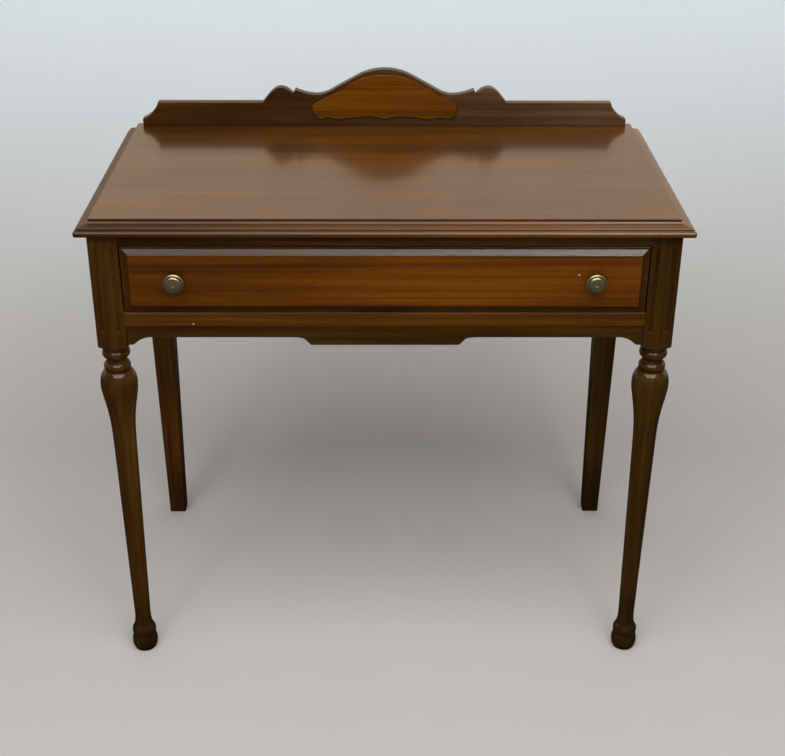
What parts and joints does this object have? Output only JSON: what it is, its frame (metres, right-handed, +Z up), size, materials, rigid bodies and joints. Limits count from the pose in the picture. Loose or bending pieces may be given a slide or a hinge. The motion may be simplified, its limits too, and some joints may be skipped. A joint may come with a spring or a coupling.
{
  "type": "writing desk",
  "caption": "Wooden writing desk with a moulded top, a shaped gallery and plaque, turned front legs, tapered rear legs and a long drawer with brass knobs.",
  "frame": {"origin": "on the floor, under the middle of the whole desk, knobs included", "axes": "+X to the right as seen from the drawer side, +Y to the back, +Z up"},
  "size_m": [0.872, 0.4766, 0.8579],
  "materials": {
    "case_wood": "dark brown stained mahogany, satin lacquer",
    "figured_wood": "striped mahogany veneer, lighter orange brown, satin lacquer",
    "inner_wood": "plain unstained hardwood",
    "knob_brass": "aged brass",
    "screw_steel": "plain steel"
  },
  "bodies": {
    "desk": {"top_board": "case_wood", "gallery_board": "case_wood", "front_left_leg": "case_wood", "front_right_leg": "case_wood", "rear_left_leg": "case_wood", "rear_right_leg": "case_wood", "front_top_rail": "case_wood", "front_lower_rail": "case_wood", "front_apron": "case_wood", "left_side_apron": "case_wood", "right_side_apron": "case_wood", "back_apron": "case_wood", "gallery_plaque": "figured_wood", "left_drawer_runner": "inner_wood", "right_drawer_runner": "inner_wood", "left_drawer_guide": "inner_wood", "right_drawer_guide": "inner_wood", "left_kicker": "inner_wood", "right_kicker": "inner_wood", "drawer_stops": "inner_wood", "apron_glue_blocks": "inner_wood", "back_glue_blocks": "inner_wood", "top_screws": "screw_steel", "gallery_screws": "screw_steel"},
    "drawer": {"drawer_front": "figured_wood", "drawer_left_side": "inner_wood", "drawer_right_side": "inner_wood", "drawer_back": "inner_wood", "drawer_bottom": "inner_wood", "knobs": "knob_brass", "drawer_bottom_screws": "screw_steel", "knob_screws": "screw_steel"}
  },
  "joints": [
    {"name": "drawer_slide", "type": "slide", "parent": "desk", "child": "drawer", "axis": [0, -1, 0], "range_m": [0, 0.3]}
  ]
}
